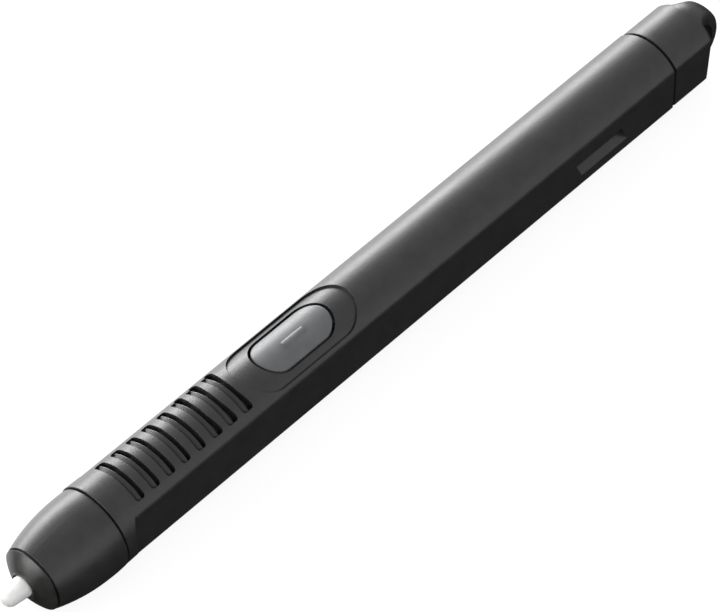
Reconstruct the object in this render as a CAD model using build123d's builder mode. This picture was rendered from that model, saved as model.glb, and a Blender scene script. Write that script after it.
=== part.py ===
"""Digitizer pen for a rugged tablet: housing, nib, side button and the parts inside.

The pen lies along X with its nib at -X and its button up. Its flat underside is at
Z = 0 and the origin is below the middle of the pen. Lengths are in millimetres.
Along the pen, a station is the distance back from the tip of the nib.
"""

import os
from build123d import *

os.makedirs("parts", exist_ok=True)

# ---- Driving dimensions ----
LENGTH = 107.0  # tip of the nib to the end of the tether lug
BODY_R = 4.82  # round top of the housing
FLAT_Y = 3.93  # pen axis to each side flat
AXIS_Z = 4.0  # pen axis above the flat underside
CORNER_R = 2.1  # lower corners of the section
RIDGE_R = 0.8  # where the round top meets the side flats
WALL = 1.1

# Stations of the main joints along the pen
MOUTH = 2.8
RING_SEAM = 4.1
NECK_START = 9.2
NOSE_SEAM = 12.7
FLAT_START = 13.7
FLAT_FULL = 14.7
CAVITY_START = 33.4
CAP_SEAM = 96.9
CAP_END = 103.12  # on the body's axis
CAP_LEAN = 4.5  # degrees that the cap's end face leans back

# Gaps that show as seams
RING_GAP = 0.26
NOSE_GAP = 0.12
REAR_GAP = 0.36
SEAM_ROUND = 0.08  # rounded edges along the seams

# Nose, tip collar and neck
NOSE_DROP = 0.18  # the nose's outside is centred this far below the pen axis
NOSE_R = 4.83
SHOULDER_R = 4.88  # front edge of the barrel, behind the nose
NOSE_FRONT_R = 3.75
NOSE_QUARTER = 6.2
NOSE_QUARTER_R = 4.32
NOSE_MID = 9.2
NOSE_MID_R = 4.79
COLLAR_R = 3.68
COLLAR_MID = 3.4
COLLAR_MID_R = 2.75
MOUTH_R = 1.28
MOUTH_LIP_R = 1.55
COLLAR_SPIGOT_R = 2.9
COLLAR_SPIGOT_END = 6.9
NECK_R = 3.4
NECK_FIT = 0.05
FRONT_BORE_R = 2.75

# Nib
NIB_R = 1.2
NIB_TIP_R = 1.0
NIB_TIP_LENGTH = 0.8  # the rounded end
NIB_STEM_R = 0.7
NIB_SHOULDER = 6.3
NIB_END = 19.9
NIB_TRAVEL = 0.3

# Grip grooves: a shallow ledge at the front, then a deep slot
GROOVES = 8
FLARED_GROOVES = 3
GROOVE_FIRST = 15.89
GROOVE_PITCH = 2.167
GROOVE_WIDTH = 1.18
GROOVE_LEDGE = 0.68  # part of the width that is ledge
GROOVE_FLARE = 0.28
GROOVE_SPUR = 0.35  # how far a flared groove's slot runs on, on the +Y side
GROOVE_HALF_SPAN = 3.1
GROOVE_CORNER_R = 0.32
LEDGE_FRONT_DEPTH = 0.55
LEDGE_REAR_DEPTH = 0.12
SLOT_DEPTH = 1.1

# Thumb recess and button
RECESS_START = 33.1
RECESS_END = 49.35
RECESS_HALF_WIDTH = 3.5
RECESS_DEPTH = 0.24
BUTTON_START = 36.17
BUTTON_END = 46.17
BUTTON_HALF_WIDTH = 2.36
BUTTON_GAP = 0.28
BUTTON_CROWN_Z = 4.66
BUTTON_EDGE_Z = 3.76

# Retention notch in the side flat
NOTCH_START = 81.7  # at the bottom edge
NOTCH_END = 89.1
NOTCH_LEAN = 1.0  # how far forward both ends lean, from bottom to top
NOTCH_TOP_Z = 0.75
NOTCH_BOTTOM_Z = -1.45
NOTCH_DEPTH = 0.8
NOTCH_RISE = 0.7  # how far the notch's floor rises towards its inner wall

# Tether lug: a tongue cut from a spherical end, with a half-moon opening
CAP_INSET = 0.08  # how far the cap stands in from the barrel
LUG_R = (BODY_R + AXIS_Z) / 2 - CAP_INSET  # meets the cap's top and underside
LUG_Z = (BODY_R - AXIS_Z) / 2
LUG_STATION = LENGTH - LUG_R
LUG_HALF_WIDTH = 1.8
LUG_RIM = 1.45  # thickness around the opening
TETHER_R = LUG_R - LUG_RIM
TETHER_START = 103.3

# Coil, pressure sensor and electronics
FERRITE_START = 7.4
FERRITE_END = 17.4
FERRITE_R = 1.75
FERRITE_BORE_R = 0.95
WIRE_R = 0.14
COIL_START = 9.0
COIL_TURNS = 20
SENSOR_START = 16.4
SENSOR_END = 26.0
SENSOR_R = 2.25
CHAMBER_R = 1.9
CHAMBER_START = 18.0
DISC_START = 24.0
DISC_END = 24.8
BOARD_START = 27.6
BOARD_END = 82.0
BOARD_HALF_WIDTH = 2.2
BOARD_BOTTOM_Z = -0.6
BOARD_TOP_Z = 0.2
CARRIER_START = 16.0
CARRIER_END = 87.8
CARRIER_FIT = 0.08
CUSHION_END = 89.9

pen_axis = Axis((-LENGTH / 2, 0, AXIS_Z), (1, 0, 0))
nose_axis = Axis((-LENGTH / 2, 0, AXIS_Z - NOSE_DROP), (1, 0, 0))
button_station = (BUTTON_START + BUTTON_END) / 2

# Half section of the pen: local X is the station and local Y the height above the axis.
side = Plane(origin=(-LENGTH / 2, 0, AXIS_Z), x_dir=(1, 0, 0), z_dir=(0, -1, 0))
nose_side = Plane(origin=(-LENGTH / 2, 0, AXIS_Z - NOSE_DROP), x_dir=(1, 0, 0), z_dir=(0, -1, 0))


def section(station):
    """Plane across the pen: local X is the pen's Y and local Y the height above the axis."""
    return Plane(origin=(station - LENGTH / 2, 0, AXIS_Z), x_dir=(0, 1, 0), z_dir=(1, 0, 0))


def plan(height):
    """Level plane seen from above: local X is the station, at a height above the axis."""
    return Plane(origin=(-LENGTH / 2, 0, AXIS_Z + height))


def d_profile(plane, inset=0.0):
    """Section with a round top, flat sides and a flat underside, inset from the outside."""
    radius = BODY_R - inset
    half_width = FLAT_Y - inset
    depth = AXIS_Z - inset
    with BuildSketch(plane) as profile:
        Circle(radius)
        with Locations((0, radius / 2 - depth / 2)):
            Rectangle(2 * half_width, radius + depth, mode=Mode.INTERSECT)
        fillet(profile.vertices().group_by(Axis.Y)[0], CORNER_R - inset)
        if inset < RIDGE_R:
            fillet(profile.vertices().group_by(Axis.Y)[-1], RIDGE_R - inset)
    return profile.sketch


def slot_profile(plane, start, end, half_width):
    """Stadium in plan between two stations."""
    with BuildSketch(plane) as profile:
        with Locations(((start + end) / 2, 0)):
            SlotOverall(end - start, 2 * half_width)
    return profile.sketch


def disc_profile(station, radius, bore=0.0):
    """Round section, with an optional bore."""
    with BuildSketch(section(station)) as profile:
        Circle(radius)
        if bore > 0:
            Circle(bore, mode=Mode.SUBTRACT)
    return profile.sketch


def save(part, name):
    """Label a finished piece and write it to its own file."""
    part.label = name
    export_step(part, f"parts/{name}.step")


# ---- Cutters ----
# Stepped ring for one groove, as it stands at the first groove
with BuildPart() as groove_ring:
    slot_start = GROOVE_FIRST + GROOVE_LEDGE
    ring_end = GROOVE_FIRST + GROOVE_WIDTH + 1
    with BuildSketch(side):
        with BuildLine():
            Polyline(
                (GROOVE_FIRST, BODY_R + 0.5),
                (GROOVE_FIRST, BODY_R - LEDGE_FRONT_DEPTH),
                (slot_start, BODY_R - LEDGE_REAR_DEPTH),
                (slot_start, BODY_R - SLOT_DEPTH),
                (ring_end, BODY_R - SLOT_DEPTH),
                (ring_end, BODY_R + 0.5),
                close=True,
            )
        make_face()
    revolve(axis=pen_axis)


def groove_cutter(flare):
    """Part of the ring inside one groove's outline seen from above, with a wider rear at both ends."""
    rear = GROOVE_FIRST + GROOVE_WIDTH
    waist = GROOVE_HALF_SPAN / 3
    with BuildPart() as cutter:
        with BuildSketch(plan(0)) as outline:
            with Locations((GROOVE_FIRST + GROOVE_WIDTH / 2, 0)):
                Rectangle(GROOVE_WIDTH, 2 * GROOVE_HALF_SPAN)
            if flare > 0:
                with BuildLine():
                    Polyline(
                        (rear, waist),
                        (rear + flare, GROOVE_HALF_SPAN),
                        (rear, GROOVE_HALF_SPAN),
                        close=True,
                    )
                make_face()
                mirror(about=Plane.XZ)
                with Locations((rear + flare, GROOVE_HALF_SPAN + GROOVE_SPUR)):
                    Rectangle(
                        GROOVE_WIDTH - GROOVE_LEDGE + flare,
                        2 * GROOVE_SPUR,
                        align=(Align.MAX, Align.MAX),
                    )
            ends = outline.vertices().group_by(Axis.Y)
            fillet(ends[0] + ends[-1], GROOVE_CORNER_R)
        extrude(amount=BODY_R + 1)
        add(groove_ring.part, mode=Mode.INTERSECT)
    return cutter.part


plain_groove = groove_cutter(0)
flared_groove = groove_cutter(GROOVE_FLARE)

with BuildPart() as recess_cutter:
    extrude(slot_profile(plan(0), RECESS_START, RECESS_END, RECESS_HALF_WIDTH), amount=BODY_R + 1)
    extrude(
        disc_profile(RECESS_START - 1, BODY_R - RECESS_DEPTH),
        amount=RECESS_END - RECESS_START + 2,
        mode=Mode.SUBTRACT,
    )

# Retention notch with a floor that rises inwards and ends that lean forward
with BuildPart() as notch_cutter:
    with BuildSketch(section(NOTCH_START - NOTCH_LEAN)):
        with BuildLine():
            Polyline(
                (-FLAT_Y - 0.5, NOTCH_TOP_Z),
                (-FLAT_Y + NOTCH_DEPTH, NOTCH_TOP_Z),
                (-FLAT_Y + NOTCH_DEPTH, NOTCH_BOTTOM_Z + NOTCH_RISE),
                (-FLAT_Y, NOTCH_BOTTOM_Z),
                (-FLAT_Y - 0.5, NOTCH_BOTTOM_Z),
                close=True,
            )
        make_face()
    extrude(amount=NOTCH_END - NOTCH_START + NOTCH_LEAN)
    with BuildSketch(side.offset(BODY_R)):
        with BuildLine():
            Polyline(
                (NOTCH_START - NOTCH_LEAN, NOTCH_TOP_Z),
                (NOTCH_START, NOTCH_BOTTOM_Z),
                (NOTCH_END, NOTCH_BOTTOM_Z),
                (NOTCH_END - NOTCH_LEAN, NOTCH_TOP_Z),
                close=True,
            )
        make_face()
    extrude(amount=-BODY_R, mode=Mode.INTERSECT)

# ---- Barrel ----
O_RING_R = 0.27
O_RING_STATION = 10.6

with BuildPart() as barrel:
    barrel_end = CAP_SEAM - REAR_GAP / 2
    extrude(d_profile(section(FLAT_START - 0.5)), amount=barrel_end - FLAT_START + 0.5)
    # Round shoulder behind the nose, ramped down to each side flat
    shoulder_start = NOSE_SEAM + NOSE_GAP / 2
    with BuildSketch(side):
        with BuildLine():
            Polyline(
                (shoulder_start, 0),
                (shoulder_start, SHOULDER_R),
                (FLAT_FULL, BODY_R),
                (FLAT_FULL, 0),
                close=True,
            )
        make_face()
    revolve(axis=pen_axis)
    with BuildSketch(plan(-BODY_R - 1)) as ramps:
        with BuildLine():
            Polyline(
                (FLAT_START, SHOULDER_R),
                (FLAT_FULL, FLAT_Y),
                (FLAT_FULL + 1, FLAT_Y),
                (FLAT_FULL + 1, SHOULDER_R + 1),
                (FLAT_START, SHOULDER_R + 1),
                close=True,
            )
        make_face()
        mirror(about=Plane.XZ)
    extrude(amount=2 * BODY_R + 2, mode=Mode.SUBTRACT)
    with BuildSketch(plan(-AXIS_Z)):
        with Locations((FLAT_START, 0)):
            Rectangle(4, 3 * BODY_R)
    extrude(amount=-2, mode=Mode.SUBTRACT)
    fillet(barrel.faces().sort_by(Axis.X)[0].edges(), SEAM_ROUND)
    fillet(barrel.faces().sort_by(Axis.X)[-1].edges(), SEAM_ROUND)
    # Neck that the nose slides over, with its O-ring groove
    extrude(disc_profile(NECK_START, NECK_R), amount=shoulder_start - NECK_START)
    with BuildSketch(side):
        with Locations((O_RING_STATION, NECK_R)):
            Rectangle(2.4 * O_RING_R, 2 * (2 * O_RING_R - NECK_FIT))
    revolve(axis=pen_axis, mode=Mode.SUBTRACT)
    # Bore for the coil and sensor, then the D-section cavity for the board
    extrude(
        disc_profile(NECK_START - 1, FRONT_BORE_R),
        amount=CAVITY_START - NECK_START + 2,
        mode=Mode.SUBTRACT,
    )
    extrude(
        d_profile(section(CAVITY_START), WALL),
        amount=barrel_end - CAVITY_START + 1,
        mode=Mode.SUBTRACT,
    )
    # Grip grooves
    for index in range(GROOVES):
        shift = Location((index * GROOVE_PITCH, 0, 0))
        flared = index >= GROOVES - FLARED_GROOVES
        with Locations(shift):
            add(flared_groove if flared else plain_groove, mode=Mode.SUBTRACT)
    # Thumb recess and button window
    add(recess_cutter.part, mode=Mode.SUBTRACT)
    extrude(
        slot_profile(
            plan(1),
            BUTTON_START - BUTTON_GAP,
            BUTTON_END + BUTTON_GAP,
            BUTTON_HALF_WIDTH + BUTTON_GAP,
        ),
        amount=BODY_R,
        mode=Mode.SUBTRACT,
    )
    add(notch_cutter.part, mode=Mode.SUBTRACT)
save(barrel.part, "barrel")

# ---- Nose cone and tip collar ----
with BuildPart() as nose_cone:
    nose_start = RING_SEAM + RING_GAP / 2
    nose_end = NOSE_SEAM - NOSE_GAP / 2
    socket_start = NECK_START - NECK_FIT
    socket_r = NECK_R + NECK_FIT
    with BuildSketch(nose_side):
        with BuildLine():
            Line((nose_start, 0), (nose_start, NOSE_FRONT_R))
            front = ThreePointArc(
                (nose_start, NOSE_FRONT_R),
                (NOSE_QUARTER, NOSE_QUARTER_R),
                (NOSE_MID, NOSE_MID_R),
            )
            TangentArc((NOSE_MID, NOSE_MID_R), (nose_end, NOSE_R), tangent=front % 1)
            Polyline((nose_end, NOSE_R), (nose_end, 0), (nose_start, 0))
        make_face()
    revolve(axis=nose_axis)
    with BuildSketch(plan(-AXIS_Z)):
        with Locations((NOSE_MID, 0)):
            Rectangle(4 * BODY_R, 3 * BODY_R)
    extrude(amount=-2, mode=Mode.SUBTRACT)
    fillet(nose_cone.faces().sort_by(Axis.X)[-1].edges(), SEAM_ROUND)
    # Bore for the collar's spigot, then the socket for the barrel's neck
    extrude(
        disc_profile(nose_start, COLLAR_SPIGOT_R),
        amount=socket_start - nose_start,
        mode=Mode.SUBTRACT,
    )
    extrude(disc_profile(socket_start, socket_r), amount=nose_end - socket_start, mode=Mode.SUBTRACT)
save(nose_cone.part, "nose_cone")

with BuildPart() as tip_collar:
    collar_back = RING_SEAM - RING_GAP / 2
    land_r = COLLAR_R - 0.35
    lip = 0.1
    with BuildSketch(nose_side):
        with BuildLine():
            Polyline((MOUTH, 0), (MOUTH, MOUTH_LIP_R), (MOUTH + lip, MOUTH_LIP_R + lip))
            ThreePointArc(
                (MOUTH + lip, MOUTH_LIP_R + lip),
                (COLLAR_MID, COLLAR_MID_R),
                (collar_back, COLLAR_R),
            )
            Polyline((collar_back, COLLAR_R), (collar_back, 0), (MOUTH, 0))
        make_face()
    revolve(axis=nose_axis)
    extrude(disc_profile(collar_back, land_r), amount=nose_start - collar_back)
    extrude(disc_profile(nose_start, COLLAR_SPIGOT_R), amount=COLLAR_SPIGOT_END - nose_start)
    extrude(disc_profile(MOUTH, MOUTH_R), amount=COLLAR_SPIGOT_END - MOUTH, mode=Mode.SUBTRACT)
save(tip_collar.part, "tip_collar")

with BuildPart() as nose_seal:
    with BuildSketch(side):
        with Locations((O_RING_STATION, socket_r - O_RING_R)):
            Circle(O_RING_R)
    revolve(axis=pen_axis)
save(nose_seal.part, "nose_seal")

# ---- Nib, its holder and the conductive rubber that it pushes ----
with BuildPart() as nib:
    with BuildSketch(side):
        with BuildLine():
            ThreePointArc(
                (0, 0),
                (NIB_TIP_LENGTH * 0.28, NIB_TIP_R * 0.66),
                (NIB_TIP_LENGTH, NIB_TIP_R),
            )
            Polyline(
                (NIB_TIP_LENGTH, NIB_TIP_R),
                (MOUTH - 0.2, NIB_R),
                (NIB_SHOULDER, NIB_R),
                (NIB_SHOULDER + 0.4, NIB_STEM_R),
                (NIB_END, NIB_STEM_R),
                (NIB_END, 0),
                (0, 0),
            )
        make_face()
    revolve(axis=pen_axis)
save(nib.part, "nib")

HOLDER_R = 1.75
HOLDER_END = 21.0
BOSS_R = 0.8
BOSS_END = 22.0

with BuildPart() as nib_holder:
    extrude(disc_profile(CHAMBER_START, HOLDER_R, NIB_STEM_R), amount=NIB_END - CHAMBER_START)
    extrude(disc_profile(NIB_END, HOLDER_R), amount=HOLDER_END - NIB_END)
    extrude(disc_profile(HOLDER_END, BOSS_R), amount=BOSS_END - HOLDER_END)
save(nib_holder.part, "nib_holder")

with BuildPart() as sensor_contact:
    contact_end = DISC_START - NIB_TRAVEL - 0.05
    extrude(disc_profile(BOSS_END, BOSS_R), amount=contact_end - BOSS_END)
    fillet(sensor_contact.edges().sort_by(Axis.X)[-1], 0.5)
save(sensor_contact.part, "sensor_contact")

SPRING_R = 1.3
SPRING_WIRE_R = 0.12
SPRING_TURNS = 5

with BuildPart() as nib_return_spring:
    spring_start = HOLDER_END + SPRING_WIRE_R
    spring_height = DISC_START - HOLDER_END - 2 * SPRING_WIRE_R
    with BuildLine() as spring_path:
        Helix(
            pitch=spring_height / SPRING_TURNS,
            height=spring_height,
            radius=SPRING_R,
            center=(spring_start - LENGTH / 2, 0, AXIS_Z),
            direction=(1, 0, 0),
        )
    with BuildSketch(Plane(origin=spring_path.edge() @ 0, z_dir=spring_path.edge() % 0)):
        Circle(SPRING_WIRE_R)
    sweep(path=spring_path.edge(), is_frenet=True)
save(nib_return_spring.part, "nib_return_spring")

# ---- Coil on its ferrite core ----
with BuildPart() as ferrite_core:
    extrude(disc_profile(FERRITE_START, FERRITE_R, FERRITE_BORE_R), amount=FERRITE_END - FERRITE_START)
    chamfer(ferrite_core.edges().filter_by(GeomType.CIRCLE), 0.12)
save(ferrite_core.part, "ferrite_core")

with BuildPart() as coil_winding:
    coil_end = COIL_START + 2 * WIRE_R * COIL_TURNS
    with BuildSketch(side):
        with BuildLine():
            for turn in range(COIL_TURNS):
                left = COIL_START + 2 * WIRE_R * turn
                ThreePointArc(
                    (left, FERRITE_R + WIRE_R),
                    (left + WIRE_R, FERRITE_R + 2 * WIRE_R),
                    (left + 2 * WIRE_R, FERRITE_R + WIRE_R),
                )
            Polyline(
                (coil_end, FERRITE_R + WIRE_R),
                (coil_end, FERRITE_R),
                (COIL_START, FERRITE_R),
                (COIL_START, FERRITE_R + WIRE_R),
            )
        make_face()
    revolve(axis=pen_axis)
save(coil_winding.part, "coil_winding")

with BuildPart() as coil_cushion:
    extrude(
        disc_profile(COLLAR_SPIGOT_END, COLLAR_SPIGOT_R - 0.4, FERRITE_BORE_R),
        amount=FERRITE_START - COLLAR_SPIGOT_END,
    )
    fillet(coil_cushion.edges().filter_by(GeomType.CIRCLE), 0.12)
save(coil_cushion.part, "coil_cushion")

LEAD_R = 0.11
LEAD_Y = 0.35
LEAD_TOP_Z = 2.45
LEAD_BEND_R = 0.8

with BuildPart() as coil_leads:
    for offset in (-LEAD_Y, LEAD_Y):
        lead_plane = side.offset(-offset)
        lead_z = FERRITE_R + WIRE_R
        with BuildLine(lead_plane) as lead_path:
            FilletPolyline(
                (coil_end + 0.02, lead_z),
                (coil_end + 0.9, lead_z),
                (coil_end + 2.4, LEAD_TOP_Z),
                (SENSOR_END + 0.4, LEAD_TOP_Z),
                (BOARD_START + 1.4, BOARD_TOP_Z + LEAD_R),
                (BOARD_START + 3.0, BOARD_TOP_Z + LEAD_R),
                radius=LEAD_BEND_R,
            )
        with BuildSketch(Plane(origin=lead_path.wires()[0] @ 0, z_dir=(1, 0, 0))):
            Circle(LEAD_R)
        sweep(path=lead_path.wires()[0])
save(coil_leads.part, "coil_leads")

# ---- Pressure sensor ----
TERMINAL_SPLIT = 0.4
TERMINAL_Y = 0.9
TERMINAL_WIDTH = 0.6
TERMINAL_THICKNESS = 0.2

with BuildPart() as sensor_housing:
    extrude(disc_profile(SENSOR_START, SENSOR_R), amount=SENSOR_END - SENSOR_START)
    extrude(
        disc_profile(SENSOR_START, FERRITE_R),
        amount=FERRITE_END - SENSOR_START,
        mode=Mode.SUBTRACT,
    )
    extrude(
        disc_profile(FERRITE_END, FERRITE_BORE_R),
        amount=CHAMBER_START - FERRITE_END,
        mode=Mode.SUBTRACT,
    )
    extrude(
        disc_profile(CHAMBER_START, CHAMBER_R),
        amount=DISC_END + TERMINAL_THICKNESS - CHAMBER_START,
        mode=Mode.SUBTRACT,
    )
    # Slots that the two terminals leave through
    with BuildSketch(section(SENSOR_END)):
        with Locations((-TERMINAL_Y, BOARD_TOP_Z + 0.1), (TERMINAL_Y, BOARD_TOP_Z + 0.1)):
            Rectangle(TERMINAL_WIDTH + 0.1, TERMINAL_THICKNESS + 0.1)
    extrude(amount=DISC_END - SENSOR_END, mode=Mode.SUBTRACT)
save(sensor_housing.part, "sensor_housing")

with BuildPart() as sensor_disc:
    extrude(disc_profile(DISC_START, CHAMBER_R - 0.03), amount=DISC_END - DISC_START)
save(sensor_disc.part, "sensor_disc")

with BuildPart() as sensor_terminals:
    with BuildSketch(section(DISC_END)):
        Circle(CHAMBER_R - 0.2)
        Rectangle(TERMINAL_SPLIT, 2 * CHAMBER_R, mode=Mode.SUBTRACT)
    extrude(amount=TERMINAL_THICKNESS)
    with BuildSketch(section(DISC_END + TERMINAL_THICKNESS / 2)):
        with Locations((-TERMINAL_Y, BOARD_TOP_Z + 0.1), (TERMINAL_Y, BOARD_TOP_Z + 0.1)):
            Rectangle(TERMINAL_WIDTH, TERMINAL_THICKNESS)
    extrude(amount=BOARD_START + 2.2 - DISC_END)
save(sensor_terminals.part, "sensor_terminals")

# ---- Carrier, circuit board and its components ----
SWITCH_LENGTH = 4.2
SWITCH_HALF_WIDTH = 1.6
SWITCH_TOP_Z = 1.3
PLUNGER_R = 0.75
PLUNGER_TOP_Z = 1.6
PLUNGER_BOTTOM_Z = 0.8
PLUNGER_FIT = 0.05
GASKET_BOTTOM_Z = 1.95
GASKET_TOP_Z = 2.2
GASKET_OVERHANG = 2.6
BRIDGE_LENGTH = 1.6
PASSAGE_TOP_Z = 1.2
POCKETS = 3
POCKET_PITCH = 10.0
POCKET_STATION = 65.0
POCKET_LENGTH = 7.5
POCKET_WIDTH = 3.2
POCKET_DEPTH = 1.4
PEG_STATION = BOARD_END - 1.6
PEG_R = 0.55
PEG_FIT = 0.05
PEG_PROUD = 0.2
gasket_start = BUTTON_START - GASKET_OVERHANG
gasket_end = BUTTON_END + GASKET_OVERHANG

with BuildPart() as board_carrier:
    # Round cradle under the sensor, inside the front bore
    extrude(disc_profile(CARRIER_START, FRONT_BORE_R - CARRIER_FIT), amount=CAVITY_START - CARRIER_START)
    # D-section tray in the rear cavity
    extrude(
        d_profile(section(CAVITY_START + 0.2), WALL + CARRIER_FIT),
        amount=CARRIER_END - CAVITY_START - 0.2,
    )
    extrude(
        disc_profile(CAVITY_START - 1, FRONT_BORE_R - CARRIER_FIT - 0.2),
        amount=2,
    )
    # Open top down to the board, except for two bridges that hold the gasket
    with BuildSketch(plan(BOARD_BOTTOM_Z)):
        with Locations(((CARRIER_START + gasket_start) / 2, 0)):
            Rectangle(gasket_start - CARRIER_START, 4 * BODY_R)
        with Locations(((gasket_start + gasket_end) / 2, 0)):
            Rectangle(gasket_end - gasket_start - 2 * BRIDGE_LENGTH, 4 * BODY_R)
        with Locations(((gasket_end + CARRIER_END) / 2, 0)):
            Rectangle(CARRIER_END - gasket_end + 2, 4 * BODY_R)
    extrude(amount=2 * BODY_R, mode=Mode.SUBTRACT)
    with BuildSketch(plan(GASKET_BOTTOM_Z)):
        with Locations(((gasket_start + gasket_end) / 2, 0)):
            Rectangle(gasket_end - gasket_start + 1, 4 * BODY_R)
    extrude(amount=2 * BODY_R, mode=Mode.SUBTRACT)
    # Cradle for the sensor housing and passage for the board under the bridges
    extrude(
        disc_profile(CARRIER_START - 1, SENSOR_R),
        amount=SENSOR_END - CARRIER_START + 1.2,
        mode=Mode.SUBTRACT,
    )
    with BuildSketch(section(gasket_start - 1)):
        with Locations((0, (BOARD_BOTTOM_Z + PASSAGE_TOP_Z) / 2)):
            Rectangle(2 * BOARD_HALF_WIDTH + 0.1, PASSAGE_TOP_Z - BOARD_BOTTOM_Z)
    extrude(amount=gasket_end - gasket_start + 2, mode=Mode.SUBTRACT)
    # Weight-saving pockets in the tray floor
    with BuildSketch(plan(BOARD_BOTTOM_Z)):
        with Locations((POCKET_STATION, 0)):
            with GridLocations(POCKET_PITCH, 1, POCKETS, 1):
                RectangleRounded(POCKET_LENGTH, POCKET_WIDTH, 0.8)
    extrude(amount=-POCKET_DEPTH, mode=Mode.SUBTRACT)
    # Peg that locates the board
    with BuildSketch(plan(BOARD_BOTTOM_Z)):
        with Locations((PEG_STATION, 0)):
            Circle(PEG_R)
    extrude(amount=BOARD_TOP_Z - BOARD_BOTTOM_Z + PEG_PROUD)
save(board_carrier.part, "board_carrier")

with BuildPart() as circuit_board:
    with BuildSketch(plan(BOARD_BOTTOM_Z)):
        with Locations(((BOARD_START + BOARD_END) / 2, 0)):
            RectangleRounded(BOARD_END - BOARD_START, 2 * BOARD_HALF_WIDTH, 0.4)
        with Locations((PEG_STATION, 0)):
            Circle(PEG_R + PEG_FIT, mode=Mode.SUBTRACT)
    extrude(amount=BOARD_TOP_Z - BOARD_BOTTOM_Z)
save(circuit_board.part, "circuit_board")

CHIP_STATION = 58.0
CHIP_SIZE = 3.0
CHIP_HEIGHT = 0.9

with BuildPart() as control_chip:
    with BuildSketch(plan(BOARD_TOP_Z + 0.1)):
        with Locations((CHIP_STATION, 0)):
            Rectangle(CHIP_SIZE, CHIP_SIZE - 0.4)
    extrude(amount=CHIP_HEIGHT)
    chamfer(control_chip.edges().group_by(Axis.Z)[-1], 0.1)
    # Legs along both sides
    with BuildSketch(plan(BOARD_TOP_Z)):
        with GridLocations(0.65, 1, 4, 1):
            with Locations((CHIP_STATION, 0)):
                Rectangle(0.25, CHIP_SIZE + 0.8)
    extrude(amount=0.25)
save(control_chip.part, "control_chip")

CAPACITOR_COLUMNS = 6
CAPACITOR_PITCH = 1.9
CAPACITOR_STATION = 67.5

with BuildPart() as chip_capacitors:
    with BuildSketch(plan(BOARD_TOP_Z)):
        with Locations((CAPACITOR_STATION, 0)):
            with GridLocations(CAPACITOR_PITCH, 2.2, CAPACITOR_COLUMNS, 2):
                Rectangle(1.0, 0.5)
    extrude(amount=0.5)
save(chip_capacitors.part, "chip_capacitors")

TRIMMER_STATION = 76.5
TRIMMER_HEIGHT = 0.9
TRIMMER_ROTOR_R = 1.1
TRIMMER_ROTOR_HEIGHT = 0.4

with BuildPart() as trimmer_capacitor:
    with BuildSketch(plan(BOARD_TOP_Z)):
        with Locations((TRIMMER_STATION, 0)):
            RectangleRounded(3.4, 3.0, 0.4)
    extrude(amount=TRIMMER_HEIGHT)
    with BuildSketch(plan(BOARD_TOP_Z + TRIMMER_HEIGHT)):
        with Locations((TRIMMER_STATION, 0)):
            Circle(TRIMMER_ROTOR_R)
    extrude(amount=TRIMMER_ROTOR_HEIGHT)
    # Cross slot for the adjusting tool
    with BuildSketch(plan(BOARD_TOP_Z + TRIMMER_HEIGHT + TRIMMER_ROTOR_HEIGHT)):
        with Locations((TRIMMER_STATION, 0)):
            Rectangle(1.7, 0.3)
            Rectangle(0.3, 1.7)
    extrude(amount=-0.25, mode=Mode.SUBTRACT)
save(trimmer_capacitor.part, "trimmer_capacitor")

with BuildPart() as side_switch_body:
    with BuildSketch(plan(BOARD_TOP_Z)):
        with Locations((button_station, 0)):
            RectangleRounded(SWITCH_LENGTH, 2 * SWITCH_HALF_WIDTH, 0.3)
    extrude(amount=SWITCH_TOP_Z - BOARD_TOP_Z)
    with BuildSketch(plan(SWITCH_TOP_Z)):
        with Locations((button_station, 0)):
            Circle(PLUNGER_R + PLUNGER_FIT)
    extrude(amount=BOARD_TOP_Z + 0.15 - SWITCH_TOP_Z, mode=Mode.SUBTRACT)
save(side_switch_body.part, "side_switch_body")

with BuildPart() as switch_plunger:
    with BuildSketch(plan(PLUNGER_BOTTOM_Z)):
        with Locations((button_station, 0)):
            Circle(PLUNGER_R)
    extrude(amount=PLUNGER_TOP_Z - PLUNGER_BOTTOM_Z)
    fillet(switch_plunger.edges().group_by(Axis.Z)[-1], 0.15)
save(switch_plunger.part, "switch_plunger")

# ---- Button and its rubber seal ----
POST_R = 0.7
TAB_LENGTH = 0.85
TAB_HALF_WIDTH = 1.3
TAB_TOP_Z = 3.32
TAB_THICKNESS = 0.7
BUTTON_EDGE_ROUND = 0.25
MARK_Y = -0.25
MARK_LENGTH = 3.0
MARK_R = 0.85
MARK_PROUD = 0.09
tab_bottom_z = TAB_TOP_Z - TAB_THICKNESS

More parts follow.
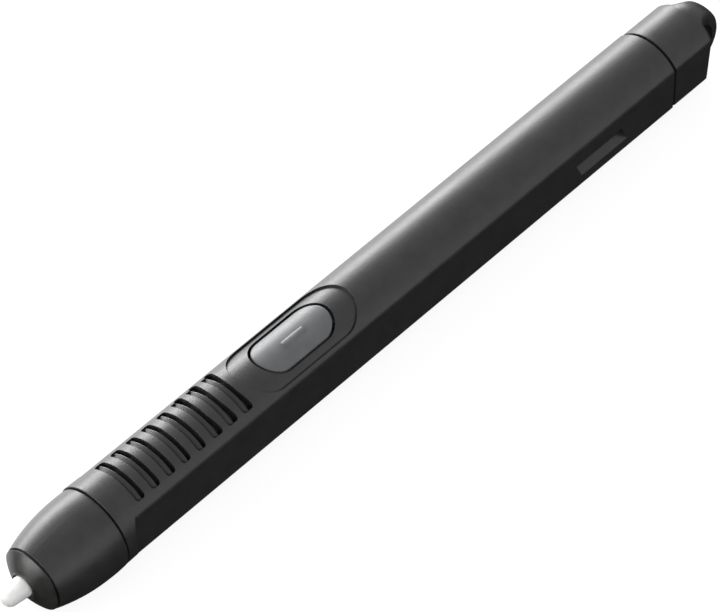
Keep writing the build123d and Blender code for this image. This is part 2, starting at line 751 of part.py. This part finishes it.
with BuildPart() as button:
    extrude(slot_profile(plan(tab_bottom_z), BUTTON_START, BUTTON_END, BUTTON_HALF_WIDTH), amount=3)
    # Crowned top: an arc across the pen from edge to edge through the crown
    with BuildSketch(section(BUTTON_START - 1)):
        with BuildLine():
            ThreePointArc(
                (-BUTTON_HALF_WIDTH, BUTTON_EDGE_Z),
                (0, BUTTON_CROWN_Z),
                (BUTTON_HALF_WIDTH, BUTTON_EDGE_Z),
            )
            Polyline(
                (BUTTON_HALF_WIDTH, BUTTON_EDGE_Z),
                (BUTTON_HALF_WIDTH, 0),
                (-BUTTON_HALF_WIDTH, 0),
                (-BUTTON_HALF_WIDTH, BUTTON_EDGE_Z),
            )
        make_face()
    extrude(amount=BUTTON_END - BUTTON_START + 2, mode=Mode.INTERSECT)
    fillet(button.faces().sort_by(Axis.Z)[-1].edges(), BUTTON_EDGE_ROUND)
    # Low ridge on the crown that a fingertip finds
    with BuildSketch(section(button_station - MARK_LENGTH / 2)):
        with Locations((MARK_Y, BUTTON_CROWN_Z + MARK_PROUD - MARK_R)):
            Circle(MARK_R)
    extrude(amount=MARK_LENGTH)
    # Tabs at both ends, under the edge of the window
    with BuildSketch(plan(tab_bottom_z)):
        with Locations((button_station, 0)):
            Rectangle(BUTTON_END - BUTTON_START + 2 * TAB_LENGTH, 2 * TAB_HALF_WIDTH)
    extrude(amount=TAB_THICKNESS)
    # Post that reaches the switch
    with BuildSketch(plan(PLUNGER_TOP_Z)):
        with Locations((button_station, 0)):
            Circle(POST_R)
    extrude(amount=tab_bottom_z - PLUNGER_TOP_Z + 0.1)
save(button.part, "button")

with BuildPart() as button_gasket:
    with BuildSketch(plan(GASKET_BOTTOM_Z)):
        with Locations((button_station, 0)):
            RectangleRounded(gasket_end - gasket_start - 0.1, 5.0, 1.2)
            Circle(POST_R + 0.06, mode=Mode.SUBTRACT)
    extrude(amount=GASKET_TOP_Z - GASKET_BOTTOM_Z)
save(button_gasket.part, "button_gasket")

# ---- Rear cap, its seal and the cushion ahead of it ----
SPIGOT_FIT = 0.05
SEAL_INSET = 0.5  # how far the seal lies below the surface
CAP_EDGE_ROUND = 0.7
LUG_EDGE_ROUND = 0.9
LUG_ROOT = 1.2  # size of the concave root on each side of the lug

with BuildPart() as lug:
    with Locations((LUG_STATION - LENGTH / 2, 0, AXIS_Z + LUG_Z)):
        Sphere(LUG_R)
    # Narrowed in plan to a tongue
    root_start = CAP_END - 0.7
    root_y = LUG_HALF_WIDTH + LUG_ROOT
    with BuildSketch(plan(-BODY_R)):
        with BuildLine():
            Polyline((LENGTH, 0), (root_start, 0), (root_start, root_y), (CAP_END, root_y))
            ThreePointArc(
                (CAP_END, root_y),
                (CAP_END + LUG_ROOT * 0.3, LUG_HALF_WIDTH + LUG_ROOT * 0.3),
                (CAP_END + LUG_ROOT, LUG_HALF_WIDTH),
            )
            Polyline(
                (CAP_END + LUG_ROOT, LUG_HALF_WIDTH),
                (LENGTH, LUG_HALF_WIDTH),
                (LENGTH, 0),
            )
        make_face()
        mirror(about=Plane.XZ)
    extrude(amount=2 * BODY_R, mode=Mode.INTERSECT)
    curved = lug.edges().filter_by(GeomType.LINE, reverse=True)
    beyond_cap = curved.filter_by(lambda edge: edge.center().X > CAP_END - LENGTH / 2)
    fillet(beyond_cap.filter_by(lambda edge: abs(edge.center().Y) > 1), LUG_EDGE_ROUND)

with BuildPart() as rear_cap:
    cap_start = CAP_SEAM + REAR_GAP / 2
    extrude(d_profile(section(cap_start), CAP_INSET), amount=CAP_END + 1 - cap_start)
    split(bisect_by=section(CAP_END).rotated((0, CAP_LEAN, 0)), keep=Keep.BOTTOM)
    fillet(rear_cap.faces().sort_by(Axis.X)[-1].edges(), CAP_EDGE_ROUND)
    fillet(rear_cap.faces().sort_by(Axis.X)[0].edges(), SEAM_ROUND)
    add(lug.part)
    # Half-moon opening that a tether loops through
    with BuildSketch(side.offset(-BODY_R)):
        with Locations((LUG_STATION, LUG_Z)):
            Circle(TETHER_R)
        with Locations((TETHER_START, LUG_Z)):
            Rectangle(2 * TETHER_R, 2 * TETHER_R, align=(Align.MIN, Align.CENTER), mode=Mode.INTERSECT)
    extrude(amount=2 * BODY_R, mode=Mode.SUBTRACT)
    # Spigot that plugs the barrel
    extrude(d_profile(section(CUSHION_END), WALL + SPIGOT_FIT), amount=cap_start - CUSHION_END)
save(rear_cap.part, "rear_cap")

with BuildPart() as rear_seal:
    seal_plane = section(barrel_end)
    extrude(d_profile(seal_plane, SEAL_INSET), amount=REAR_GAP)
    extrude(d_profile(seal_plane, WALL + SPIGOT_FIT), amount=REAR_GAP, mode=Mode.SUBTRACT)
save(rear_seal.part, "rear_seal")

with BuildPart() as carrier_cushion:
    extrude(d_profile(section(CARRIER_END), WALL + 0.3), amount=CUSHION_END - CARRIER_END)
save(carrier_cushion.part, "carrier_cushion")
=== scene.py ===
"""Looks of a digitizer pen around its CAD frame: materials, studio and camera.

Lengths are in metres, in the frame of the CAD model: the pen lies along X with its nib
at -X and its button up, on the plane Z = 0.
"""

import math

import bpy
from mathutils import Matrix, Vector


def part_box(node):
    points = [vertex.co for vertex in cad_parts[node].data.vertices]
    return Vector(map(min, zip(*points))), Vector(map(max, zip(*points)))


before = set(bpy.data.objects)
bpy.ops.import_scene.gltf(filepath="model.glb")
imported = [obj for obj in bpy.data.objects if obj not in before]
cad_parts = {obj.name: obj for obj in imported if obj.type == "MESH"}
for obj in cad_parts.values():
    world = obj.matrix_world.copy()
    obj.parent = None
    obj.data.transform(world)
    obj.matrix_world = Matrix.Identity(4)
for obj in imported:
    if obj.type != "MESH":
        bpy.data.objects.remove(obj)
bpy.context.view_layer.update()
scene = bpy.context.scene

MM = 0.001
WHITE = (1, 1, 1, 1)


# ---- Node helpers ----
def feed(tree, socket, value):
    """Link a socket to the output that feeds it, or set it to a plain value."""
    if isinstance(value, bpy.types.NodeSocket):
        tree.links.new(value, socket)
    elif socket.type == "RGBA" and len(value) == 3:
        socket.default_value = (*value, 1)
    else:
        socket.default_value = value


def add(tree, kind, inputs=None, **settings):
    """Add a node. An input is either a value or the output socket that feeds it."""
    node = tree.nodes.new(kind)
    for name, value in settings.items():
        setattr(node, name, value)
    for key, value in (inputs or {}).items():
        feed(tree, node.inputs[key], value)
    return node


def start(slot):
    """A slot's node tree, its shader and coordinates that stay fixed to the piece."""
    tree = bpy.data.materials[slot].node_tree
    shader = tree.nodes["Principled BSDF"]
    coords = add(tree, "ShaderNodeTexCoord").outputs["Object"]
    return tree, shader, coords


def finish_shader(tree, shader, **inputs):
    """Feed or set the shader's sockets, named with underscores for spaces."""
    for name, value in inputs.items():
        feed(tree, shader.inputs[name.replace("_", " ")], value)


def noise(tree, coords, size, detail=2, stretch=(1, 1, 1)):
    """Soft noise whose blotches are about one size across, longer where stretch is under 1."""
    placed = add(tree, "ShaderNodeMapping", {"Vector": coords, "Scale": stretch}).outputs[0]
    inputs = {"Vector": placed, "Scale": 1 / size, "Detail": detail}
    return add(tree, "ShaderNodeTexNoise", inputs).outputs["Fac"]


def cells(tree, coords, size):
    """Pattern of packed cells of one size: 0 at the middle of each, and higher at its rim."""
    inputs = {"Vector": coords, "Scale": 1 / size}
    return add(tree, "ShaderNodeTexVoronoi", inputs).outputs["Distance"]


def ramp(tree, factor, low, high, start_at=0.3, end_at=0.7):
    """Colour that goes from low to high as a factor goes from start_at to end_at."""
    node = add(tree, "ShaderNodeValToRGB", {"Fac": factor})
    stops = ((start_at, low), (end_at, high))
    for element, (position, colour) in zip(node.color_ramp.elements, stops):
        element.position = position
        element.color = (*colour, 1)
    return node.outputs["Color"]


def span(tree, factor, low, high, start_at=0.3, end_at=0.7):
    """Number that goes from low to high as a factor goes from start_at to end_at."""
    ends = {"From Min": start_at, "From Max": end_at, "To Min": low, "To Max": high}
    return add(tree, "ShaderNodeMapRange", {"Value": factor, **ends}).outputs["Result"]


def maths(tree, operation, first, second):
    return add(tree, "ShaderNodeMath", {0: first, 1: second}, operation=operation).outputs[0]


def blend_colours(tree, factor, first, second):
    """The first colour, or the second where the factor is 1."""
    node = add(tree, "ShaderNodeMix", {"Factor": factor}, data_type="RGBA")
    sockets = [socket for socket in node.inputs if socket.type == "RGBA"]
    for socket, colour in zip(sockets, (first, second)):
        feed(tree, socket, colour)
    return next(socket for socket in node.outputs if socket.type == "RGBA")


def soft_edges(tree, radius):
    """Normals that round each edge by a radius, and a mask that is 1 on the edges."""
    rounded = add(tree, "ShaderNodeBevel", {"Radius": radius}, samples=4).outputs["Normal"]
    flat = add(tree, "ShaderNodeNewGeometry").outputs["Normal"]
    dot = add(tree, "ShaderNodeVectorMath", {0: rounded, 1: flat}, operation="DOT_PRODUCT")
    edge = span(tree, dot.outputs["Value"], 1, 0, start_at=0.75, end_at=0.99)
    return rounded, edge


def bump(tree, height, depth, normal=None):
    """Normals over a height pattern that is depth deep, on top of other normals."""
    node = add(tree, "ShaderNodeBump", {"Height": height, "Strength": 1, "Distance": depth})
    if normal is not None:
        feed(tree, node.inputs["Normal"], normal)
    return node.outputs["Normal"]


# ---- Materials that show ----
def moulded(slot, dark, light, worn, roughness, grain_size, grain_depth, edge_radius):
    """Moulded plastic: spark-eroded grain, soft mottling, and edges polished by handling."""
    tree, shader, coords = start(slot)
    rounded, edge = soft_edges(tree, radius=edge_radius)
    mottle = noise(tree, coords, size=1.6 * MM, detail=3)
    patches = noise(tree, coords, size=9 * MM)
    grain = noise(tree, coords, size=grain_size, detail=3)
    rub = maths(tree, "MULTIPLY", edge, span(tree, mottle, 0.15, 0.8))
    body = ramp(tree, mottle, dark, light, start_at=0.35, end_at=0.65)
    uneven = maths(tree, "ADD", span(tree, patches, -0.03, 0.03), span(tree, grain, -0.05, 0.05))
    polish = span(tree, rub, 0, -0.1, start_at=0, end_at=1)
    change = maths(tree, "ADD", polish, uneven)
    finish_shader(
        tree,
        shader,
        Base_Color=blend_colours(tree, rub, body, worn),
        Roughness=maths(tree, "ADD", change, roughness),
        Normal=bump(tree, grain, depth=grain_depth, normal=rounded),
        Metallic=0,
    )


def housing_plastic():
    """Charcoal satin plastic of the barrel, the nose and the rear cap."""
    moulded(
        "housing_plastic",
        dark=(0.024, 0.024, 0.0245),
        light=(0.030, 0.030, 0.0305),
        worn=(0.05, 0.05, 0.051),
        roughness=0.37,
        grain_size=0.2 * MM,
        grain_depth=0.011 * MM,
        edge_radius=0.1 * MM,
    )


def button_plastic():
    """Cool grey satin plastic of the side button."""
    moulded(
        "button_plastic",
        dark=(0.112, 0.118, 0.122),
        light=(0.130, 0.137, 0.142),
        worn=(0.19, 0.197, 0.20),
        roughness=0.42,
        grain_size=0.13 * MM,
        grain_depth=0.006 * MM,
        edge_radius=0.1 * MM,
    )


def collar_plastic():
    """Smooth dark collar round the nib, scuffed on its edges, with faint tooling rings."""
    tree, shader, coords = start("collar_plastic")
    dark = (0.019, 0.0185, 0.0172)
    light = (0.026, 0.0252, 0.0236)
    scuffed = (0.06, 0.059, 0.056)
    rounded, edge = soft_edges(tree, radius=0.06 * MM)
    haze = noise(tree, coords, size=1.2 * MM, detail=3)
    rings = noise(tree, coords, size=0.3 * MM, detail=1, stretch=(1, 0.05, 0.05))
    scuffs = maths(tree, "MULTIPLY", edge, span(tree, haze, 0, 0.6))
    body = ramp(tree, haze, dark, light)
    finish_shader(
        tree,
        shader,
        Base_Color=blend_colours(tree, scuffs, body, scuffed),
        Roughness=span(tree, haze, 0.34, 0.44),
        Normal=bump(tree, rings, depth=0.002 * MM, normal=rounded),
        Metallic=0,
    )


def nib_plastic():
    """White translucent nib, finely scratched along its length and greyed at its tip."""
    tree, shader, coords = start("nib_plastic")
    shaded = (0.86, 0.86, 0.845)
    white = (0.92, 0.92, 0.91)
    greyed = (0.35, 0.35, 0.34)
    rounded, _ = soft_edges(tree, radius=0.05 * MM)
    clouds = noise(tree, coords, size=0.8 * MM, detail=3)
    scratches = noise(tree, coords, size=0.07 * MM, stretch=(0.12, 1, 1))
    station = add(tree, "ShaderNodeSeparateXYZ", {"Vector": coords}).outputs["X"]
    tip_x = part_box("nib")[0][0]
    tip = span(tree, station, 1, 0, start_at=tip_x, end_at=tip_x + 0.9 * MM)
    dirt = maths(tree, "MULTIPLY", tip, span(tree, clouds, 0.05, 0.5))
    body = ramp(tree, clouds, shaded, white)
    finish_shader(
        tree,
        shader,
        Base_Color=blend_colours(tree, dirt, body, greyed),
        Roughness=span(tree, scratches, 0.34, 0.46),
        Normal=bump(tree, scratches, depth=0.002 * MM, normal=rounded),
        Subsurface_Weight=0.8,
        Subsurface_Radius=(1, 1, 0.96),
        Subsurface_Scale=1.6 * MM,
        Metallic=0,
    )


def black_rubber():
    """Matte black rubber of the seals, gasket, cushion and contact, with a dusty bloom."""
    tree, shader, coords = start("black_rubber")
    black = (0.008, 0.008, 0.008)
    dusty = (0.022, 0.022, 0.021)
    bloom = noise(tree, coords, size=0.6 * MM, detail=4)
    pores = noise(tree, coords, size=0.05 * MM)
    finish_shader(
        tree,
        shader,
        Base_Color=ramp(tree, bloom, black, dusty, start_at=0.35, end_at=0.75),
        Roughness=span(tree, bloom, 0.72, 0.9),
        Normal=bump(tree, pores, depth=0.006 * MM),
        Sheen_Weight=0.1,
        Metallic=0,
    )


# ---- Materials inside the housing ----
def grey_foam():
    """Open-cell foam: dark pores between lighter struts."""
    tree, shader, coords = start("grey_foam")
    pore = (0.02, 0.02, 0.021)
    strut = (0.15, 0.15, 0.156)
    pores = cells(tree, coords, size=0.22 * MM)
    cloud = noise(tree, coords, size=1 * MM)
    finish_shader(
        tree,
        shader,
        Base_Color=ramp(tree, pores, pore, strut, start_at=0.1, end_at=0.6),
        Roughness=span(tree, cloud, 0.88, 0.98),
        Normal=bump(tree, pores, depth=0.08 * MM),
        Metallic=0,
    )


def carrier_plastic():
    """Natural glass-filled plastic, with flow marks and short fibres along the pen."""
    tree, shader, coords = start("carrier_plastic")
    buff = (0.47, 0.455, 0.41)
    ivory = (0.60, 0.59, 0.55)
    flow = noise(tree, coords, size=2 * MM, detail=3, stretch=(0.25, 1, 1))
    fibres = noise(tree, coords, size=0.05 * MM, stretch=(0.15, 1, 1))
    finish_shader(
        tree,
        shader,
        Base_Color=ramp(tree, flow, buff, ivory),
        Roughness=span(tree, fibres, 0.45, 0.62),
        Normal=bump(tree, fibres, depth=0.006 * MM),
        Metallic=0,
    )


def board_laminate():
    """Green solder mask over copper tracks, on a woven glass laminate."""
    tree, shader, coords = start("board_laminate")
    mask = (0.012, 0.105, 0.045)
    mask_over_copper = (0.03, 0.20, 0.075)
    layout = {
        "Vector": coords,
        "Scale": 1,
        "Brick Width": 3.4 * MM,
        "Row Height": 0.55 * MM,
        "Mortar Size": 0.09 * MM,
        "Mortar Smooth": 0.4,
    }
    tracks = add(tree, "ShaderNodeTexBrick", layout).outputs["Fac"]
    weave = cells(tree, coords, size=0.18 * MM)
    finish_shader(
        tree,
        shader,
        Base_Color=blend_colours(tree, tracks, mask, mask_over_copper),
        Roughness=span(tree, weave, 0.22, 0.38, start_at=0, end_at=1),
        Normal=bump(tree, maths(tree, "ADD", tracks, weave), depth=0.01 * MM),
        Coat_Weight=0.3,
        Metallic=0,
    )


def chip_resin():
    """Black epoxy moulding compound with bright filler specks."""
    tree, shader, coords = start("chip_resin")
    black = (0.022, 0.022, 0.024)
    filler = (0.10, 0.10, 0.10)
    specks = noise(tree, coords, size=0.035 * MM, detail=1)
    haze = noise(tree, coords, size=0.7 * MM)
    finish_shader(
        tree,
        shader,
        Base_Color=ramp(tree, specks, black, filler, start_at=0.5, end_at=0.8),
        Roughness=span(tree, haze, 0.5, 0.65),
        Normal=bump(tree, specks, depth=0.005 * MM),
        Metallic=0,
    )


def switch_cap():
    """Dull red plunger of the switch."""
    tree, shader, coords = start("switch_cap")
    deep = (0.46, 0.075, 0.03)
    bright = (0.60, 0.12, 0.05)
    haze = noise(tree, coords, size=0.4 * MM, detail=3)
    grain = noise(tree, coords, size=0.05 * MM)
    finish_shader(
        tree,
        shader,
        Base_Color=ramp(tree, haze, deep, bright),
        Roughness=span(tree, grain, 0.35, 0.5),
        Normal=bump(tree, grain, depth=0.004 * MM),
        Metallic=0,
    )


def ceramic():
    """Fired ceramic with a speckled, slightly chalky surface."""
    tree, shader, coords = start("ceramic")
    brown = (0.46, 0.35, 0.23)
    tan = (0.66, 0.55, 0.41)
    specks = noise(tree, coords, size=0.06 * MM, detail=3)
    cloud = noise(tree, coords, size=0.5 * MM)
    finish_shader(
        tree,
        shader,
        Base_Color=ramp(tree, specks, brown, tan, end_at=0.65),
        Roughness=span(tree, cloud, 0.4, 0.6),
        Normal=bump(tree, specks, depth=0.006 * MM),
        Metallic=0,
    )


def trimmer_plastic():
    """Cream plastic body of the trimmer."""
    tree, shader, coords = start("trimmer_plastic")
    straw = (0.68, 0.61, 0.44)
    cream = (0.80, 0.75, 0.60)
    cloud = noise(tree, coords, size=0.8 * MM, detail=3)
    grain = noise(tree, coords, size=0.06 * MM)
    finish_shader(
        tree,
        shader,
        Base_Color=ramp(tree, cloud, straw, cream),
        Roughness=span(tree, grain, 0.4, 0.55),
        Normal=bump(tree, grain, depth=0.004 * MM),
        Metallic=0,
    )


def ferrite():
    """Sintered ferrite: dark, gritty, with a faint metallic glint."""
    tree, shader, coords = start("ferrite")
    dark = (0.035, 0.035, 0.037)
    glint = (0.10, 0.10, 0.105)
    grit = noise(tree, coords, size=0.05 * MM, detail=4)
    cloud = noise(tree, coords, size=0.9 * MM)
    finish_shader(
        tree,
        shader,
        Base_Color=ramp(tree, grit, dark, glint, start_at=0.35, end_at=0.75),
        Roughness=span(tree, cloud, 0.45, 0.65),
        Normal=bump(tree, grit, depth=0.01 * MM),
        Metallic=0.25,
    )


def copper_wire():
    """Enamelled copper, darker where the enamel is thick."""
    tree, shader, coords = start("copper_wire")
    thick_enamel = (0.45, 0.14, 0.05)
    thin_enamel = (0.72, 0.30, 0.14)
    enamel = noise(tree, coords, size=0.5 * MM, detail=3)
    drawn = noise(tree, coords, size=0.05 * MM, stretch=(1, 0.2, 0.2))
    finish_shader(
        tree,
        shader,
        Base_Color=ramp(tree, enamel, thick_enamel, thin_enamel),
        Roughness=span(tree, drawn, 0.2, 0.36),
        Normal=bump(tree, drawn, depth=0.003 * MM),
        Coat_Weight=0.5,
        Metallic=1,
    )


def terminal_brass():
    """Stamped brass with rolling lines and a little tarnish."""
    tree, shader, coords = start("terminal_brass")
    tarnished = (0.52, 0.36, 0.14)
    clean = (0.76, 0.58, 0.27)
    tarnish = noise(tree, coords, size=0.8 * MM, detail=4)
    rolling = noise(tree, coords, size=0.04 * MM, stretch=(0.1, 1, 1))
    finish_shader(
        tree,
        shader,
        Base_Color=ramp(tree, tarnish, tarnished, clean, end_at=0.6),
        Roughness=span(tree, rolling, 0.22, 0.42),
        Normal=bump(tree, rolling, depth=0.003 * MM),
        Metallic=1,
    )


def spring_steel():
    """Drawn steel wire with fine die marks and a slight heat tint."""
    tree, shader, coords = start("spring_steel")
    cool = (0.42, 0.42, 0.44)
    warm = (0.60, 0.59, 0.58)
    marks = noise(tree, coords, size=0.04 * MM)
    heat = noise(tree, coords, size=0.9 * MM)
    finish_shader(
        tree,
        shader,
        Base_Color=ramp(tree, heat, cool, warm),
        Roughness=span(tree, marks, 0.2, 0.36),
        Normal=bump(tree, marks, depth=0.003 * MM),
        Metallic=1,
    )


# ---- Studio ----
LIGHT_DISTANCE = 1.0
FLOOR_HALF_SIDE = 3.0

# How much light the floor reflects, and the strengths of its own glow and of the walls'.
FLOOR_SHADE = 0.2
FLOOR_GLOW = 0.88
WALL_OVERHEAD = 0.68
WALL_BEHIND = 2.2
WALL_IN_FRONT = 0.8
WALL_BELOW = 0.03


def area_light(name, direction, width, height, power):
    """Soft box in a direction from the pen, facing it, wide along the horizon."""
    data = bpy.data.lights.new(name, "AREA")
    data.shape = "RECTANGLE"
    data.size = width
    data.size_y = height
    data.energy = power
    lamp = bpy.data.objects.new(name, data)
    towards = Vector(direction).normalized()
    lamp.location = towards * LIGHT_DISTANCE
    lamp.rotation_euler = towards.to_track_quat("Z", "Y").to_euler()
    scene.collection.objects.link(lamp)


def floor():
    """Pale floor under the pen. Most of its brightness is its own, and none reaches the pen."""
    half = FLOOR_HALF_SIDE
    mesh = bpy.data.meshes.new("floor")
    corners = [(-half, -half, 0), (half, -half, 0), (half, half, 0), (-half, half, 0)]
    mesh.from_pydata(corners, [], [(0, 1, 2, 3)])
    plane = bpy.data.objects.new("floor", mesh)
    plane.visible_diffuse = False
    plane.visible_glossy = False
    scene.collection.objects.link(plane)
    material = bpy.data.materials.new("floor")
    material.use_nodes = True
    tree = material.node_tree
    finish_shader(
        tree,
        tree.nodes["Principled BSDF"],
        Base_Color=(FLOOR_SHADE, FLOOR_SHADE, FLOOR_SHADE, 1),
        Roughness=0.9,
        Specular_IOR_Level=0,
        Emission_Color=WHITE,
        Emission_Strength=FLOOR_GLOW,
    )
    mesh.materials.append(material)


def surroundings():
    """Studio walls: even overhead, dark below, and lit near the horizon behind and in front."""
    world = bpy.data.worlds.new("studio")
    world.use_nodes = True
    scene.world = world
    tree = world.node_tree
    direction = add(tree, "ShaderNodeTexCoord").outputs["Generated"]
    axes = add(tree, "ShaderNodeSeparateXYZ", {"Vector": direction}).outputs
    along, across, upward = axes["X"], axes["Y"], axes["Z"]

    sky = span(tree, upward, WALL_BELOW, WALL_OVERHEAD, start_at=-0.05, end_at=0.2)
    behind = span(tree, across, 0, WALL_BEHIND, start_at=0.45, end_at=0.9)
    past_nib = span(tree, along, 0, 1, start_at=-0.55, end_at=-0.2)
    behind = maths(tree, "MULTIPLY", behind, past_nib)
    under_ceiling = span(tree, upward, 1, 0, start_at=0.25, end_at=0.6)
    behind = maths(tree, "MULTIPLY", behind, under_ceiling)
    in_front = span(tree, across, WALL_IN_FRONT, 0, start_at=-0.95, end_at=-0.6)
    above_floor = span(tree, upward, 0, 1, start_at=-0.05, end_at=0.1)
    in_front = maths(tree, "MULTIPLY", in_front, above_floor)
    walls = maths(tree, "ADD", behind, in_front)

    finish_shader(
        tree,
        tree.nodes["Background"],
        Color=WHITE,
        Strength=maths(tree, "ADD", sky, walls),
    )


# ---- Camera ----
# The view of a camera fitted to the photograph's picture of the pen.
CAMERA_AZIMUTH = math.radians(-45.77)
CAMERA_ELEVATION = math.radians(50.16)
CAMERA_ROLL = math.radians(-1.24)
CAMERA_DISTANCE = 456.93 * MM
CAMERA_LENS = 218.5
CAMERA_SENSOR = 36
CAMERA_TARGET = Vector((-0.633, 1.514, 1.752)) * MM


def make_camera():
    """Long lens above the nib end, with the pen running across the picture."""
    back = Vector((
        math.sin(CAMERA_AZIMUTH) * math.cos(CAMERA_ELEVATION),
        -math.cos(CAMERA_AZIMUTH) * math.cos(CAMERA_ELEVATION),
        math.sin(CAMERA_ELEVATION),
    ))
    level_right = Vector((math.cos(CAMERA_AZIMUTH), math.sin(CAMERA_AZIMUTH), 0))
    level_up = back.cross(level_right)
    right = level_right * math.cos(CAMERA_ROLL) + level_up * math.sin(CAMERA_ROLL)
    up = back.cross(right)
    data = bpy.data.cameras.new("camera")
    data.lens = CAMERA_LENS
    data.sensor_width = CAMERA_SENSOR
    camera = bpy.data.objects.new("camera", data)
    camera.matrix_world = Matrix((right, up, back)).transposed().to_4x4()
    camera.location = CAMERA_TARGET + back * CAMERA_DISTANCE
    scene.collection.objects.link(camera)
    scene.camera = camera


make_camera()
for paint in (
    housing_plastic,
    button_plastic,
    collar_plastic,
    nib_plastic,
    black_rubber,
    grey_foam,
    carrier_plastic,
    board_laminate,
    chip_resin,
    switch_cap,
    ceramic,
    trimmer_plastic,
    ferrite,
    copper_wire,
    terminal_brass,
    spring_steel,
):
    paint()

floor()
surroundings()
area_light("strip_behind", direction=(0.3, 0.91, 0.26), width=1.3, height=0.42, power=14.5)
area_light("box_ahead", direction=(-0.93, 0.36, 0.1), width=0.6, height=0.4, power=6.5)
scene.view_settings.view_transform = "Standard"
